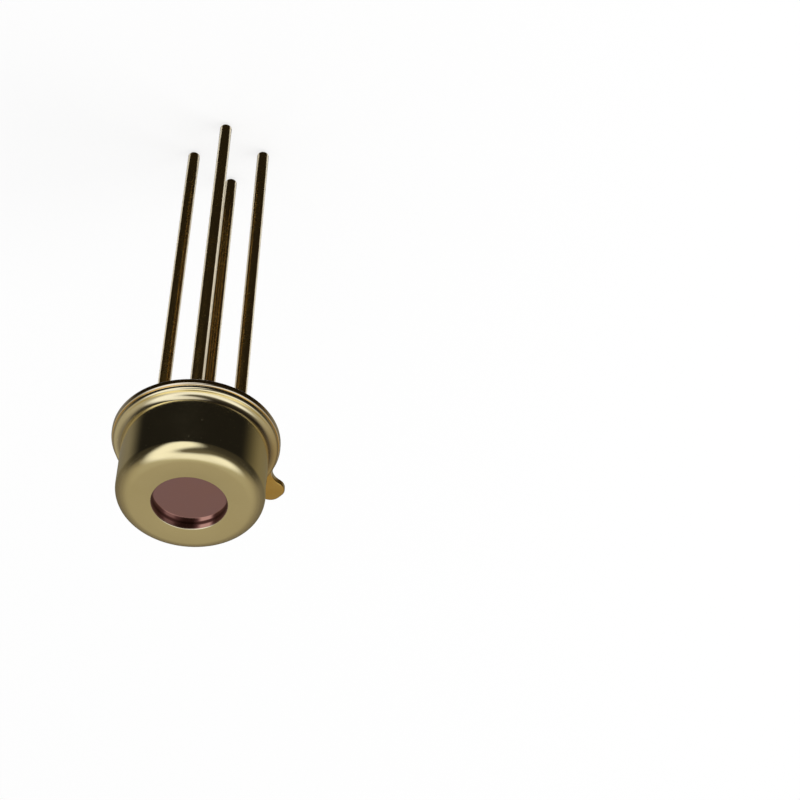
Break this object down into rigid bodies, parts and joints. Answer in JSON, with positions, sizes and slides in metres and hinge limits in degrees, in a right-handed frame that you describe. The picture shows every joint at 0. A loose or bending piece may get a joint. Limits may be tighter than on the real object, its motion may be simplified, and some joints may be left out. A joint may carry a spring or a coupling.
{
  "type": "thermopile infrared sensor",
  "caption": "Thermopile infrared sensor in a round metal can with a coated filter window, an index tab and straight gold-plated through-hole leads.",
  "frame": {"origin": "centre of the header's flat underside, where the package seats on a board", "axes": "+Z is the optical axis, out of the window, with the leads along -Z; +X points along the index tab"},
  "size_m": [0.0063, 0.0054, 0.0172],
  "materials": {
    "gold_plated_kovar": "bright gold plating over an iron-nickel-cobalt alloy",
    "nickel_cap": "drawn nickel-plated sheet, satin",
    "coated_silicon_filter": "opaque silicon with a mauve interference coating, polished",
    "seal_glass": "dark brown sealing glass, glossy",
    "filter_epoxy": "cured black epoxy",
    "silver_epoxy": "cured silver-filled epoxy",
    "silicon": "polished silicon",
    "membrane_film": "thin oxide and nitride film with interference colour",
    "polysilicon": "doped polysilicon film",
    "aluminium_film": "sputtered aluminium",
    "absorber_black": "porous black absorber",
    "thermistor_ceramic": "sintered metal-oxide ceramic"
  },
  "bodies": {
    "root": {"header": "gold_plated_kovar", "glass_bead_1": "seal_glass", "glass_bead_2": "seal_glass", "glass_bead_3": "seal_glass", "lead_1": "gold_plated_kovar", "lead_2": "gold_plated_kovar", "lead_3": "gold_plated_kovar", "ground_lead": "gold_plated_kovar", "ground_lead_weld": "gold_plated_kovar", "cap": "nickel_cap", "filter": "coated_silicon_filter", "filter_bond": "filter_epoxy", "die_frame": "silicon", "membrane": "membrane_film", "polysilicon_legs": "polysilicon", "aluminium_legs": "aluminium_film", "absorber": "absorber_black", "bond_pads": "aluminium_film", "die_attach": "silver_epoxy", "thermistor": "thermistor_ceramic", "thermistor_electrodes": "gold_plated_kovar", "thermistor_attach": "silver_epoxy", "bond_wire_1": "gold_plated_kovar", "bond_wire_2": "gold_plated_kovar", "bond_wire_3": "gold_plated_kovar"}
  },
  "joints": []
}
